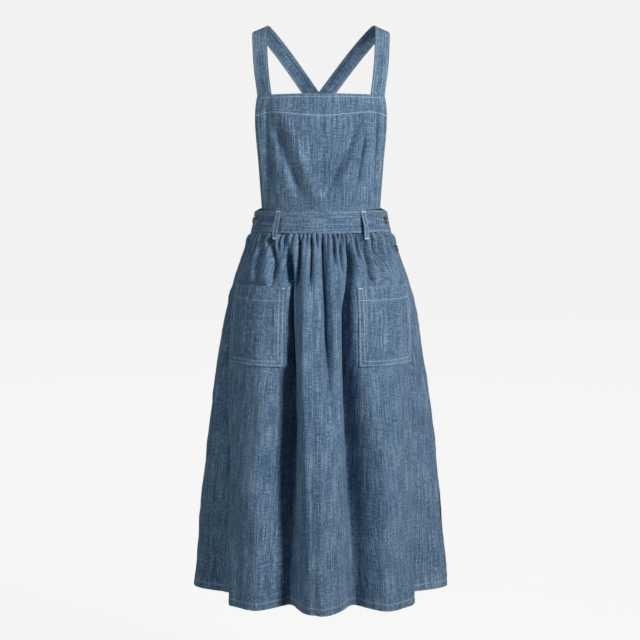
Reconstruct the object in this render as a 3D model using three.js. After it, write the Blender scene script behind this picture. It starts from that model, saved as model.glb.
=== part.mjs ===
// A denim-weight chambray pinafore dress, filled out as it hangs from the shoulders.
// Units are millimetres and +Z is up. The front faces -Y and +X is the right side as seen from the front.
// The origin is where the wearer holds the dress up: midway between the crests of the two straps,
// level with their undersides.
import * as THREE from 'three';

// Driving sizes
const hemZ = -1186;
const band = {
  topZ: -369,
  bottomZ: -415.5,
  topHalfWidth: 140.5,
  topHalfDepth: 106,
  bottomHalfWidth: 148.5,
  bottomHalfDepth: 112,
  sideDip: 9,
  backDip: 4,
  dipSpread: 24,
};
const cloth = { skirt: 1.2, band: 3, bib: 2, strap: 2.6, pocket: 1.4, loop: 1.8 };
const seamGap = 0.3;
const strap = {
  width: 31,
  crestX: 125.5,
  crestSlope: 23,
  frontDrift: 0.285,
  frontLength: 161,
  rootX: 115.5,
  rootLean: 1.1,
  crossingAt: 243,
  lowerLength: 246,
  backRound: 116,
};
const straps = [
  { name: 'strap_left', mirror: 1, over: 1, backDrift: 0.205 },
  { name: 'strap_right', mirror: -1, over: -1, backDrift: 0.24 },
];
const pocket = { topZ: -525, hemZ: -552, footZ: -685 };
const loopSize = { width: 11, angle: 38, foot: 13 };
const bandButtons = [
  { name: 'button_band_left', angle: -74.5 },
  { name: 'button_band_right', angle: 68 },
];
const skirtButton = { name: 'button_skirt_right', angle: 77.5, below: 37 };

// The skirt's plain outline, before any fold is let into it
const skirtSections = [
  { z: -416, halfWidth: 148, halfDepth: 112 },
  { z: -440, halfWidth: 157, halfDepth: 121 },
  { z: -465, halfWidth: 166, halfDepth: 131 },
  { z: -516, halfWidth: 182, halfDepth: 148 },
  { z: -567, halfWidth: 196, halfDepth: 164 },
  { z: -620, halfWidth: 206, halfDepth: 175 },
  { z: -722, halfWidth: 223.5, halfDepth: 192 },
  { z: -878, halfWidth: 243, halfDepth: 210 },
  { z: -1035, halfWidth: 259, halfDepth: 225 },
  { z: hemZ, halfWidth: 272, halfDepth: 237 },
];

// The bib's outline. ellipseWidth is the half width of the ring that it would be part of.
const bibSections = [
  { z: band.topZ, halfWidth: 122.5, ellipseWidth: 139, halfDepth: 104.5 },
  { z: -330, halfWidth: 125, ellipseWidth: 148, halfDepth: 110 },
  { z: -270, halfWidth: 129, ellipseWidth: 160, halfDepth: 116 },
  { z: -225, halfWidth: 133, ellipseWidth: 167, halfDepth: 118.5 },
  { z: -185, halfWidth: 135.5, ellipseWidth: 171, halfDepth: 118 },
  { z: -155, halfWidth: 134, ellipseWidth: 172, halfDepth: 115 },
  { z: -128, halfWidth: 129.5, ellipseWidth: 171, halfDepth: 110 },
];
const bibTop = { centreZ: -128, cornerDrop: 5 };

// Where the straps lie behind: the plain outline of the upper back down to the band
const backSections = [
  { z: band.topZ - band.backDip, ellipseWidth: 139, halfDepth: 104.5 },
  { z: -260, ellipseWidth: 165, halfDepth: 100 },
  { z: -150, ellipseWidth: 190, halfDepth: 95 },
];

// Long folds that reach the hem. The angle runs round the skirt from the centre front, in degrees,
// at the waist seam, the pocket's top and foot, the knee and the hem. inTop to inHem say how far each
// lies inside the plain outline, in mm.
const kneeZ = -900;
const frontFlutes = [
  { seam: -90, top: -90, foot: -90, knee: -90, hem: -90, inTop: 0, inFoot: 0, inKnee: 0, inHem: 0 },
  { seam: -80, top: -79, foot: -72, knee: -67, hem: -63, inTop: 3, inFoot: 15, inKnee: 42, inHem: 68 },
  { seam: -66, top: -70, foot: -58, knee: -47, hem: -42, inTop: 0, inFoot: 0, inKnee: 0, inHem: 0 },
  { seam: -45, top: -42, foot: -38, knee: -33, hem: -30, inTop: 0, inFoot: -2, inKnee: -5, inHem: -8 },
  { seam: -24, top: -20, foot: -17, knee: -18, hem: -21.5, inTop: 7, inFoot: 20, inKnee: 42, inHem: 70 },
  { seam: 0, top: 0, foot: 0, knee: 0, hem: 0, inTop: 0, inFoot: -3, inKnee: -9, inHem: -17 },
  { seam: 22, top: 19, foot: 16, knee: 17.5, hem: 19, inTop: 7, inFoot: 19, inKnee: 34, inHem: 52 },
  { seam: 42, top: 41, foot: 37, knee: 33, hem: 29, inTop: 0, inFoot: -2, inKnee: -8, inHem: -15 },
  { seam: 64, top: 69, foot: 57, knee: 46, hem: 41, inTop: 0, inFoot: 0, inKnee: 0, inHem: -2 },
  { seam: 80, top: 78, foot: 70, knee: 66, hem: 66, inTop: 3, inFoot: 13, inKnee: 38, inHem: 68 },
  { seam: 90, top: 90, foot: 90, knee: 90, hem: 90, inTop: 0, inFoot: 0, inKnee: 0, inHem: 0 },
];
const backFlutes = [
  { seam: 90, top: 90, foot: 90, knee: 90, hem: 90, inTop: 0, inFoot: 0, inKnee: 0, inHem: 0 },
  { seam: 108, top: 109, foot: 111, knee: 112, hem: 113, inTop: 3, inFoot: 12, inKnee: 30, inHem: 52 },
  { seam: 128, top: 129, foot: 130, knee: 131, hem: 132, inTop: 0, inFoot: -2, inKnee: -6, inHem: -10 },
  { seam: 152, top: 154, foot: 156, knee: 157, hem: 157, inTop: 5, inFoot: 16, inKnee: 34, inHem: 56 },
  { seam: 176, top: 177, foot: 178, knee: 179, hem: 179, inTop: 0, inFoot: -3, inKnee: -8, inHem: -14 },
  { seam: 200, top: 200, foot: 201, knee: 202, hem: 203, inTop: 6, inFoot: 15, inKnee: 30, inHem: 48 },
  { seam: 226, top: 227, foot: 228, knee: 229, hem: 229, inTop: 0, inFoot: -2, inKnee: -7, inHem: -12 },
  { seam: 250, top: 250, foot: 250, knee: 250, hem: 250, inTop: 3, inFoot: 13, inKnee: 32, inHem: 58 },
  { seam: 270, top: 270, foot: 270, knee: 270, hem: 270, inTop: 0, inFoot: 0, inKnee: 0, inHem: 0 },
];

// Short troughs that run out of the gathers and die away. deep, halfWidth and reach are in mm.
const shortFolds = [
  { seam: -67, end: -68, deep: 4, halfWidth: 8, reach: 110 },
  { seam: -51, end: -47, deep: 7, halfWidth: 9, reach: 200 },
  { seam: -36, end: -30, deep: 7.5, halfWidth: 8, reach: 190 },
  { seam: -25.5, end: -18, deep: 9, halfWidth: 8, reach: 420 },
  { seam: -17, end: -14, deep: 8, halfWidth: 7, reach: 170 },
  { seam: -7.5, end: -8.5, deep: 4.5, halfWidth: 6, reach: 150 },
  { seam: 1.5, end: 3.4, deep: 9, halfWidth: 8, reach: 400 },
  { seam: 12, end: 9.5, deep: 4, halfWidth: 6, reach: 110 },
  { seam: 22, end: 16, deep: 10, halfWidth: 8, reach: 420 },
  { seam: 36.5, end: 33, deep: 8, halfWidth: 8, reach: 200 },
  { seam: 51, end: 48, deep: 5.5, halfWidth: 8, reach: 150 },
  { seam: 62.5, end: 60, deep: 4, halfWidth: 8, reach: 150 },
  { seam: 101, end: 102, deep: 5, halfWidth: 8, reach: 160 },
  { seam: 117, end: 119, deep: 7, halfWidth: 8, reach: 230 },
  { seam: 131, end: 133, deep: 5, halfWidth: 7, reach: 150 },
  { seam: 143, end: 147, deep: 8, halfWidth: 8, reach: 260 },
  { seam: 157, end: 158, deep: 7, halfWidth: 8, reach: 190 },
  { seam: 169, end: 168, deep: 5, halfWidth: 7, reach: 140 },
  { seam: 183, end: 181, deep: 8, halfWidth: 8, reach: 300 },
  { seam: 196, end: 199, deep: 7, halfWidth: 8, reach: 180 },
  { seam: 211, end: 208, deep: 6, halfWidth: 7, reach: 150 },
  { seam: 222, end: 219, deep: 8, halfWidth: 8, reach: 240 },
  { seam: 238, end: 239, deep: 6, halfWidth: 8, reach: 170 },
  { seam: 256, end: 255, deep: 5, halfWidth: 8, reach: 150 },
];
const gathers = { perHalf: 32, deep: 2.3, atSeam: 0.4, fullAt: 9, goneAt: 56, calmAngle: 78, calmSpread: 9 };

// Soft folds of the bib, from the end at its top to the end at its foot, as shares of its half width
const bibFolds = [
  { topX: -0.79, topZ: -150, footX: -0.86, footZ: -362, deep: 4, halfWidth: 9 },
  { topX: -0.6, topZ: -165, footX: -0.2, footZ: -362, deep: 5, halfWidth: 10 },
  { topX: 0.47, topZ: -170, footX: 0.02, footZ: -330, deep: 4.5, halfWidth: 12 },
  { topX: 0.6, topZ: -190, footX: 0.56, footZ: -350, deep: 3, halfWidth: 9 },
  { topX: 0.8, topZ: -160, footX: 0.86, footZ: -362, deep: 3, halfWidth: 8 },
];

const { degToRad, radToDeg, lerp, smoothstep, clamp } = THREE.MathUtils;
const vec = (x, y, z) => new THREE.Vector3(x, y, z);

// The upper end of the interval of a rising list in which a value lies
function upperEnd(list, value) {
  const found = list.findIndex((entry) => entry >= value);
  return found < 0 ? list.length - 1 : Math.max(found, 1);
}

// A smooth curve through one column of a table, read at z. Rows are in order of falling or rising z.
function column(table, name, z) {
  const rows = table[0].z < table[table.length - 1].z ? table : [...table].reverse();
  const last = rows.length - 1;
  const at = upperEnd(rows.map((row) => row.z), z) - 1;
  const [a, b] = [rows[at], rows[at + 1]];
  const step = b.z - a.z;
  const t = clamp((z - a.z) / step, 0, 1);
  const before = rows[Math.max(at - 1, 0)];
  const after = rows[Math.min(at + 2, last)];
  const slopeA = ((b[name] - before[name]) / (b.z - before.z)) * step;
  const slopeB = ((after[name] - a[name]) / (after.z - a.z)) * step;
  const t2 = t * t;
  const t3 = t2 * t;
  return (2 * t3 - 3 * t2 + 1) * a[name] + (t3 - 2 * t2 + t) * slopeA
    + (3 * t2 - 2 * t3) * b[name] + (t3 - t2) * slopeB;
}

// Height lost by the band's edges towards the sides, where nothing holds it up
function sideDrop(angle) {
  const fromSide = Math.abs(Math.abs(((angle + 180) % 360 + 360) % 360 - 180) - 92);
  return Math.exp(-((fromSide / band.dipSpread) ** 2));
}

function behind(angle) {
  return (1 - Math.cos(degToRad(angle))) / 2;
}

function bandTopZ(angle) {
  return band.topZ - band.sideDip * sideDrop(angle) - band.backDip * behind(angle);
}

function bandBottomZ(angle) {
  return band.bottomZ - 0.75 * band.sideDip * sideDrop(angle) - 0.5 * band.backDip * behind(angle);
}

function onEllipse(angle, halfWidth, halfDepth, z) {
  const turn = degToRad(angle);
  return vec(halfWidth * Math.sin(turn), -halfDepth * Math.cos(turn), z);
}

// The waistband's outer face. share runs from 0 at its top edge to 1 at its bottom edge.
function bandOuter(angle, share) {
  const flare = share * share * (1.6 - 0.6 * share);
  return onEllipse(
    angle,
    lerp(band.topHalfWidth, band.bottomHalfWidth, flare),
    lerp(band.topHalfDepth, band.bottomHalfDepth, flare),
    lerp(bandTopZ(angle), bandBottomZ(angle), share),
  );
}

const levels = [
  { z: band.bottomZ, angle: 'seam', depth: 'inSeam' },
  { z: pocket.topZ, angle: 'top', depth: 'inTop' },
  { z: pocket.footZ, angle: 'foot', depth: 'inFoot' },
  { z: kneeZ, angle: 'knee', depth: 'inKnee' },
  { z: hemZ, angle: 'hem', depth: 'inHem' },
];

// A flute's angle or depth, read at a height between the levels that state it. It has no depth at the seam.
function atLevel(flute, kind, z) {
  const below = upperEnd(levels.map((level) => -level.z), -z);
  const [upper, lower] = [levels[below - 1], levels[below]];
  const share = clamp((upper.z - z) / (upper.z - lower.z), 0, 1);
  return lerp(flute[upper[kind]] ?? 0, flute[lower[kind]], share);
}

function fluteDepth(flutes, angle, z) {
  const at = flutes.map((flute) => atLevel(flute, 'angle', z));
  const next = upperEnd(at, angle);
  const share = clamp((angle - at[next - 1]) / (at[next] - at[next - 1]), 0, 1);
  const ease = (1 - Math.cos(Math.PI * share)) / 2;
  return lerp(atLevel(flutes[next - 1], 'depth', z), atLevel(flutes[next], 'depth', z), ease);
}

// 0 off the pockets and 1 under them, where the cloth lies flatter
function underPocket(angle, z) {
  const side = Math.abs(angle);
  const inner = pocketEdge('inner', z);
  const outer = pocketEdge('outer', z);
  const across = smoothstep(side, inner - 3, inner + 1) * (1 - smoothstep(side, outer - 1, outer + 3));
  const below = 1 - smoothstep(z, pocket.topZ, pocket.topZ + 18);
  return across * below * smoothstep(z, pocket.footZ - 18, pocket.footZ);
}

function shortFoldDepth(angle, z, halfWidth) {
  const below = band.bottomZ - z;
  let depth = 0;
  for (const fold of shortFolds) {
    const share = below / fold.reach;
    if (share >= 1) continue;
    const away = degToRad(angle - lerp(fold.seam, fold.end, share)) * halfWidth * 0.9;
    const wide = fold.halfWidth * (0.7 + 0.6 * share);
    const grown = smoothstep(below, 2, 34) * (1 - smoothstep(share, 0.35, 1));
    depth += fold.deep * grown * Math.exp(-((away / wide) ** 2));
  }
  return depth * (1 - 0.7 * underPocket(angle, z));
}

// Gather number g, counted from the centre front, lies at this angle. They are unevenly spaced.
function gatherAngle(g) {
  const uneven = 1.1 * Math.sin(g * 1.7) + 0.7 * Math.sin(g * 2.9 + 1);
  const fromSide = Math.abs(Math.abs(g % gathers.perHalf) - gathers.perHalf / 2);
  return (g * 180) / gathers.perHalf + uneven * smoothstep(fromSide, 0, 2);
}

function gatherOffset(g, angle, z) {
  const below = band.bottomZ - seamGap - z;
  const calm = 0.8 * Math.exp(-(((angle - gathers.calmAngle) / gathers.calmSpread) ** 4));
  const grown = lerp(gathers.atSeam, 1, smoothstep(below, 0, gathers.fullAt));
  const left = 1 - smoothstep(below, 0.35 * gathers.goneAt, gathers.goneAt);
  return gathers.deep * grown * left * (1 - calm) * Math.cos(2 * Math.PI * g);
}

// A point of the skirt's cloth, at gather number g and a height between the seam and the hem
function skirtPoint(flutes, g, angle, z) {
  const seamZ = bandBottomZ(angle) - seamGap;
  const dip = (band.bottomZ - seamGap - seamZ) * (1 - smoothstep(band.bottomZ - z, 0, 160));
  const halfWidth = column(skirtSections, 'halfWidth', z);
  const halfDepth = column(skirtSections, 'halfDepth', z);
  const inward = fluteDepth(flutes, angle, z) + shortFoldDepth(angle, z, halfWidth);
  const offset = gatherOffset(g, angle, z) - inward;
  const k = halfDepth / halfWidth;
  return onEllipse(angle, halfWidth + offset, halfDepth + offset * k, z - dip);
}

// The pocket's side edges fan a little less than the skirt does, so that it keeps its width.
const pocketFan = { inner: { top: 24.4, foot: 21.7 }, outer: { top: 71, foot: 60.5 } };

function pocketEdge(edge, z) {
  const share = clamp((pocket.topZ - z) / (pocket.topZ - pocket.footZ), 0, 1);
  return lerp(pocketFan[edge].top, pocketFan[edge].foot, share);
}

// The skirt's columns are quarter steps of the gathers, led along the pockets' edges lower down.
const columnsPerGather = 4;
const halfColumns = gathers.perHalf * columnsPerGather;
const pocketColumns = { inner: halfColumns / 8, outer: (halfColumns * 3) / 8 };

function columnAngle(index, z) {
  const plain = gatherAngle(index / columnsPerGather);
  const side = Math.abs(index);
  if (side > halfColumns / 2) return plain;
  const { inner, outer } = pocketColumns;
  const end = halfColumns / 2;
  const marks = [0, inner, outer, end];
  const angles = [0, pocketEdge('inner', z), pocketEdge('outer', z), 90];
  const i = side < inner ? 0 : side < outer ? 1 : 2;
  const fanned = lerp(angles[i], angles[i + 1], (side - marks[i]) / (marks[i + 1] - marks[i]));
  return lerp(plain, Math.sign(index) * fanned, smoothstep(band.bottomZ - z, 30, 75));
}

// A closed wall round a grid of cloth. Each row is a list of { mark, point, normal }, and rows may differ
// in length: marks say which points of two rows lie on one line.
function wall(rows, thickness) {
  const points = [];
  const index = rows.map((row) => row.map((p) => points.push(p) - 1));
  const faces = [];
  for (let r = 0; r + 1 < rows.length; r += 1) {
    let i = 0;
    let j = 0;
    while (i + 1 < rows[r].length || j + 1 < rows[r + 1].length) {
      const upper = i + 1 < rows[r].length ? rows[r][i + 1].mark : Infinity;
      const lower = j + 1 < rows[r + 1].length ? rows[r + 1][j + 1].mark : Infinity;
      const a = index[r][i];
      const b = index[r + 1][j];
      if (upper < lower) {
        i += 1;
        faces.push([a, b, index[r][i]]);
      } else {
        j += 1;
        faces.push([a, b, index[r + 1][j]]);
      }
    }
  }
  const rim = [
    ...index[0],
    ...index.slice(1).map((row) => row[row.length - 1]),
    ...index[index.length - 1].slice(0, -1).reverse(),
    ...index.slice(1, -1).map((row) => row[0]).reverse(),
  ];
  const moved = (p, distance) => p.point.clone().addScaledVector(p.normal, distance).toArray();
  const skin = (side) => points.flatMap((p) => moved(p, (side * thickness) / 2));
  const count = points.length;
  const triangles = [];
  for (const [a, b, c] of faces) {
    triangles.push([a, b, c], [a + count, c + count, b + count]);
  }
  rim.forEach((a, i) => {
    const b = rim[(i + 1) % rim.length];
    triangles.push([a, b, b + count], [a, b + count, a + count]);
  });
  const geometry = new THREE.BufferGeometry();
  geometry.setAttribute('position', new THREE.Float32BufferAttribute([...skin(1), ...skin(-1)], 3));
  geometry.setIndex(facingOut(geometry.getAttribute('position'), triangles).flat());
  geometry.computeVertexNormals();
  return geometry;
}

// The triangles, turned over if the solid that they close has a negative volume
function facingOut(position, triangles) {
  const [a, b, c] = [vec(), vec(), vec()];
  let volume = 0;
  for (const [i, j, k] of triangles) {
    a.fromBufferAttribute(position, i);
    b.fromBufferAttribute(position, j);
    c.fromBufferAttribute(position, k);
    volume += a.dot(b.cross(c));
  }
  return volume > 0 ? triangles : triangles.map(([i, j, k]) => [i, k, j]);
}

// A grid point with its normal, from a surface given as at(across, down)
function sample(at, across, down, mark, step = 0.4) {
  const point = at(across, down);
  const alongAcross = at(across + step, down).sub(at(across - step, down));
  const alongDown = at(across, down + step).sub(at(across, down - step));
  return { mark, point, normal: alongDown.cross(alongAcross).normalize() };
}

function grid(downs, acrosses, at, step) {
  return downs.map((down) => acrosses.map((across, i) => sample(at, across, down, i, step)));
}

// A seam's edge is cut level, so that the pieces on its two sides part evenly.
function levelEdge(row) {
  row.forEach((p) => p.normal.setZ(0).normalize());
}

const steps = (from, to, count) => Array.from({ length: count + 1 }, (_, i) => lerp(from, to, i / count));

// Skirt rows: fine at the gathers, then every second column down to the hem
const gatheredRows = [0, 7, 21, 40];
const plainRows = [-474, -498, pocket.topZ, pocket.hemZ, -612, pocket.footZ, -785, kneeZ, -1040, hemZ];

function skirtRows(flutes, firstColumn) {
  const seamZ = band.bottomZ - seamGap;
  const heights = [...gatheredRows.map((drop) => seamZ - drop), ...plainRows];
  const rows = heights.map((z, r) => {
    const every = r < gatheredRows.length ? 1 : 2;
    const row = [];
    for (let c = 0; c <= halfColumns; c += every) {
      row.push(skirtSample(flutes, firstColumn + c, z, c === 0 ? 1 : c === halfColumns ? -1 : 0));
    }
    return row;
  });
  levelEdge(rows[0]);
  return rows;
}

// One point of the skirt's grid. trim is 1 or -1 at a side seam, where the panels part by the seam's gap.
function skirtSample(flutes, index, z, trim) {
  const at = (angle, down) => skirtPoint(flutes, index / columnsPerGather, angle, -down);
  const angle = columnAngle(index, z);
  const found = sample(at, angle, -z, index);
  const across = at(angle + 0.2, -z).sub(at(angle - 0.2, -z)).normalize();
  found.point.addScaledVector(across, (trim * seamGap) / 2);
  return found;
}

const materials = {
  chambray: () => new THREE.MeshStandardMaterial({ color: 0x5b7d9b, roughness: 0.92, metalness: 0 }),
  metal: () => new THREE.MeshStandardMaterial({ color: 0x7b7468, roughness: 0.42, metalness: 0.9 }),
};

const dress = new THREE.Group();

function add(name, geometry, material = 'chambray') {
  const mesh = new THREE.Mesh(geometry, materials[material]());
  mesh.name = name;
  dress.add(mesh);
  return mesh;
}

function addSkirt() {
  add('skirt_front', wall(skirtRows(frontFlutes, -halfColumns / 2), cloth.skirt));
  add('skirt_back', wall(skirtRows(backFlutes, halfColumns / 2), cloth.skirt));
}

// A pocket is the skirt's own grid between its edges, moved out by half of both cloths and the gap.
function addPocket(name, side) {
  const heights = plainRows.filter((z) => z <= pocket.topZ && z >= pocket.footZ);
  const out = (cloth.skirt + cloth.pocket) / 2 + seamGap + 0.1;
  const rows = heights.map((z) => {
    const row = [];
    for (let c = pocketColumns.inner; c <= pocketColumns.outer; c += 2) {
      const found = skirtSample(frontFlutes, side * c, z, 0);
      found.point.addScaledVector(found.normal, out);
      found.mark = c;
      row.push(found);
    }
    return row;
  });
  add(name, wall(rows, cloth.pocket));
}

// The waistband's middle, half of its thickness inside its outer face
function bandMiddle(angle, share) {
  const at = sample(bandOuter, angle, share, 0, 0.05);
  return at.point.addScaledVector(at.normal.setZ(0).normalize(), -cloth.band / 2);
}

function addBand(name, from, to) {
  const trim = radToDeg(seamGap / 2 / band.topHalfDepth);
  const rows = grid(steps(0, 1, 3), steps(from + trim, to - trim, 40), bandMiddle, 0.02);
  levelEdge(rows[0]);
  levelEdge(rows[3]);
  add(name, wall(rows, cloth.band));
}

function bibTopAt(share) {
  return bibTop.centreZ - bibTop.cornerDrop * share * share;
}

// The bib's cloth at a share of its half width and a height
function bibPoint(share, z) {
  const across = column(bibSections, 'halfWidth', z) * share;
  const ring = column(bibSections, 'ellipseWidth', z);
  const depth = column(bibSections, 'halfDepth', z);
  let inward = 0;
  for (const fold of bibFolds) {
    const along = (fold.topZ - z) / (fold.topZ - fold.footZ);
    const reach = smoothstep(along, -0.12, 0.25) * (1 - smoothstep(along, 0.7, 1.02));
    const away = (share - lerp(fold.topX, fold.footX, along)) * column(bibSections, 'halfWidth', z);
    inward += fold.deep * reach * Math.exp(-((away / fold.halfWidth) ** 2));
  }
  return vec(across, -(depth - inward) * Math.sqrt(1 - (across / ring) ** 2), z);
}

function addBib() {
  const rows = steps(0, 1, 12).map((down) => steps(-1, 1, 26).map((share, i) => {
    const at = (s, d) => bibPoint(s, lerp(bibTopAt(s), band.topZ + seamGap, d));
    return sample(at, share, down, i, 0.01);
  }));
  levelEdge(rows[0]);
  levelEdge(rows[12]);
  add('bib', wall(rows, cloth.bib));
}

// The side view of a strap: turn is how far it has bent from level, in degrees, at a distance from its crest.
const frontBend = [{ far: 0, turn: 0 }, { far: 24, turn: 52 }, { far: 156, turn: 73.5 }];
const backBend = [{ far: 0, turn: 0 }, { far: 26, turn: 37 }, { far: 200, turn: 90 }, { far: 260, turn: 90 }];

function turnAt(bend, far) {
  const next = upperEnd(bend.map((row) => row.far), far);
  const [a, b] = [bend[next - 1], bend[next]];
  return degToRad(lerp(a.turn, b.turn, clamp((far - a.far) / (b.far - a.far), 0, 1)));
}

// How far out and down the strap has come at a distance from its crest
function profile(bend, far) {
  const count = 60;
  let out = 0;
  let down = 0;
  for (let i = 0; i < count; i += 1) {
    const turn = turnAt(bend, (far * (i + 0.5)) / count);
    out += (Math.cos(turn) * far) / count;
    down += (Math.sin(turn) * far) / count;
  }
  return { out, down };
}

// Over the shoulder a strap is a flat ribbon laid over a sloping crest, so it leads inwards behind.
// along is measured from the crest, negative to the front. Points are for the strap on the -X side.
function overShoulder({ backDrift }, along, across) {
  const lean = Math.atan(lerp(strap.frontDrift, backDrift, smoothstep(along, -40, 40)));
  const slope = degToRad(strap.crestSlope);
  const level = vec(Math.cos(slope), 0, Math.sin(slope));
  const up = vec(-Math.sin(slope), 0, Math.cos(slope));
  const far = along * Math.cos(lean) - across * Math.sin(lean);
  const shift = along * Math.sin(lean) + across * Math.cos(lean);
  const { out, down } = profile(far < 0 ? frontBend : backBend, Math.abs(far));
  return vec(-strap.crestX, Math.sign(far) * out, cloth.strap / 2)
    .addScaledVector(level, shift)
    .addScaledVector(up, -down);
}

// Towards its root in front, the ribbon turns to lie along the bib's top edge.
function strapFront(which, along, across) {
  const bibHalf = bibSections[bibSections.length - 1].halfWidth;
  const edge = (x) => bibPoint(x / bibHalf, bibTopAt(x / bibHalf)).add(vec(0, 0, seamGap));
  const { frontLength, rootX, rootLean } = strap;
  const leaving = overShoulder(which, 30 - frontLength, 0).sub(edge(-rootX)).normalize();
  const rested = edge(across / rootLean - rootX).addScaledVector(leaving, along + frontLength);
  const turned = smoothstep(-along, 0.3 * frontLength, 0.96 * frontLength);
  return overShoulder(which, along, across).lerp(rested, turned);
}

// The plain outline of the back under the straps, at a distance round from the centre back
function backPoint(round, z) {
  const halfWidth = column(backSections, 'ellipseWidth', z);
  const halfDepth = column(backSections, 'halfDepth', z);
  const count = 24;
  let turn = 0;
  for (let i = 0; i < count; i += 1) {
    turn += round / count / Math.hypot(halfWidth * Math.cos(turn), halfDepth * Math.sin(turn));
  }
  return vec(halfWidth * Math.sin(turn), halfDepth * Math.cos(turn), z);
}

// From the crossing a strap runs on to the band, straightening towards its root. It keeps to one side of
// the other strap while the two overlap, given by over as 1 outside or -1 inside.
function strapBack(which, along, across) {
  const beyond = along - strap.crossingAt;
  const passing = 1 - smoothstep(Math.abs(beyond), strap.width, 2.4 * strap.width);
  const apart = (which.over * passing * (cloth.strap + seamGap + 0.1)) / 2;
  if (beyond <= 0) return overShoulder(which, along, across).add(vec(0, apart, 0));
  const start = overShoulder(which, strap.crossingAt, 0);
  const heading = overShoulder(which, strap.crossingAt + 1, 0).sub(start);
  const endZ = band.topZ - band.backDip + seamGap;
  const path = new THREE.CubicBezierCurve(
    new THREE.Vector2(start.x, start.z),
    new THREE.Vector2(start.x + heading.x * 85, start.z + heading.z * 85),
    new THREE.Vector2(strap.backRound - 26, endZ + 75),
    new THREE.Vector2(strap.backRound, endZ),
  );
  const share = beyond / strap.lowerLength;
  const at = path.getPoint(share);
  const tangent = path.getTangent(share);
  const square = smoothstep(share, 0.7, 1);
  const aside = new THREE.Vector2(-tangent.y, tangent.x).lerp(new THREE.Vector2(-1 / tangent.y, 0), square);
  at.addScaledVector(aside, across);
  const rested = backPoint(at.x, at.y);
  const seatZ = bandTopZ(180 - radToDeg(Math.asin(rested.x / band.topHalfWidth))) + seamGap;
  rested.z += (seatZ - endZ) * square;
  rested.y = lerp(start.y, rested.y, smoothstep(beyond, 24, 90)) + apart;
  return rested;
}

function strapPoint(which, along, across) {
  return along < 0 ? strapFront(which, along, across) : strapBack(which, along, across);
}

// Rows lie closer where a strap bends over its crest and where it passes the other.
const strapStations = [
  -strap.frontLength, -148, -130, -110, -90, -72, -56, -42, -30, -20, -12, -5, 3, 11, 20, 31, 44, 60, 80, 102,
  126, 150, 172, 190, 205, 220, 232, 243, 256, 268, 282, 298, 316, 338, 362, 388, 414, 440, 464,
  strap.crossingAt + strap.lowerLength,
];

function addStrap(which) {
  const half = strap.width / 2;
  const rows = strapStations.map((along) => steps(-half, half, 4).map((across, mark) => {
    const found = sample((a, d) => strapPoint(which, d, a), across, along, mark, 0.5);
    found.point.x *= which.mirror;
    found.normal.x *= which.mirror;
    return found;
  }));
  levelEdge(rows[0]);
  levelEdge(rows[rows.length - 1]);
  add(which.name, wall(rows, cloth.strap));
}

// A belt loop seen from the side: how far its inner face stands off the band's line, from its head at
// the band's top edge to its foot on the gathers below the band
const loopRise = [
  { share: 0, off: 0.4 }, { share: 0.1, off: 0.5 }, { share: 0.2, off: 2.4 }, { share: 0.34, off: 5.6 },
  { share: 0.5, off: 7.2 }, { share: 0.66, off: 7.8 }, { share: 0.8, off: 7.7 }, { share: 0.9, off: 7.6 },
  { share: 1, off: 8.2 },
];

function addLoop(name, angle) {
  const headZ = bandTopZ(angle) - 1;
  const footZ = bandBottomZ(angle) - loopSize.foot;
  const face = bandOuter(angle, 0.5);
  const across = onEllipse(angle + 1, band.bottomHalfWidth, band.bottomHalfDepth, 0)
    .sub(onEllipse(angle - 1, band.bottomHalfWidth, band.bottomHalfDepth, 0)).normalize();
  const outward = vec(across.y, -across.x, 0);
  const base = (z) => {
    const share = (bandTopZ(angle) - z) / (bandTopZ(angle) - bandBottomZ(angle));
    return bandOuter(angle, Math.min(share, 1)).dot(outward);
  };
  const rows = loopRise.map(({ share, off }) => {
    const z = lerp(headZ, footZ, share);
    const out = base(z) + off + cloth.loop / 2 - face.dot(outward);
    return steps(-loopSize.width / 2, loopSize.width / 2, 2).map((side, mark) => {
      const point = vec(face.x, face.y, z).addScaledVector(outward, out).addScaledVector(across, side);
      return { mark, point, normal: outward.clone() };
    });
  });
  add(name, wall(rows, cloth.loop));
}

// A pressed tack button: shank, dished face and rolled rim, turned about its own axis
const buttonProfile = [
  { radius: 0, out: 0 }, { radius: 3, out: 0 }, { radius: 3, out: 1.6 }, { radius: 8, out: 1.6 },
  { radius: 8.6, out: 2.4 }, { radius: 8.4, out: 3.4 }, { radius: 7.4, out: 3.9 }, { radius: 6.2, out: 3.2 },
  { radius: 3, out: 3.5 }, { radius: 0, out: 3.6 },
];

function addButton(name, at, outward) {
  const outline = buttonProfile.map(({ radius, out }) => new THREE.Vector2(radius, out));
  const mesh = add(name, new THREE.LatheGeometry(outline, 20), 'metal');
  mesh.position.copy(at).addScaledVector(outward, seamGap);
  mesh.quaternion.setFromUnitVectors(vec(0, 1, 0), outward);
}

function addSkirtButton() {
  const z = band.bottomZ - skirtButton.below;
  const at = (angle, height) => skirtPoint(frontFlutes, 0.25, angle, height);
  const { point, normal } = sample((angle, down) => at(angle, -down), skirtButton.angle, -z, 0, 1);
  addButton(skirtButton.name, point.addScaledVector(normal, cloth.skirt / 2 + 0.5), normal);
}

addSkirt();
addPocket('pocket_left', -1);
addPocket('pocket_right', 1);
addBand('waistband_front', -90, 90);
addBand('waistband_back', 90, 270);
addBib();
straps.forEach(addStrap);
addLoop('belt_loop_front_left', -loopSize.angle);
addLoop('belt_loop_front_right', loopSize.angle);
addLoop('belt_loop_back_left', 180 + loopSize.angle);
addLoop('belt_loop_back_right', 180 - loopSize.angle);
for (const { name, angle } of bandButtons) {
  const { point, normal } = sample(bandOuter, angle, 0.46, 0, 0.02);
  addButton(name, point, normal);
}
addSkirtButton();

export default dress;
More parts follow.
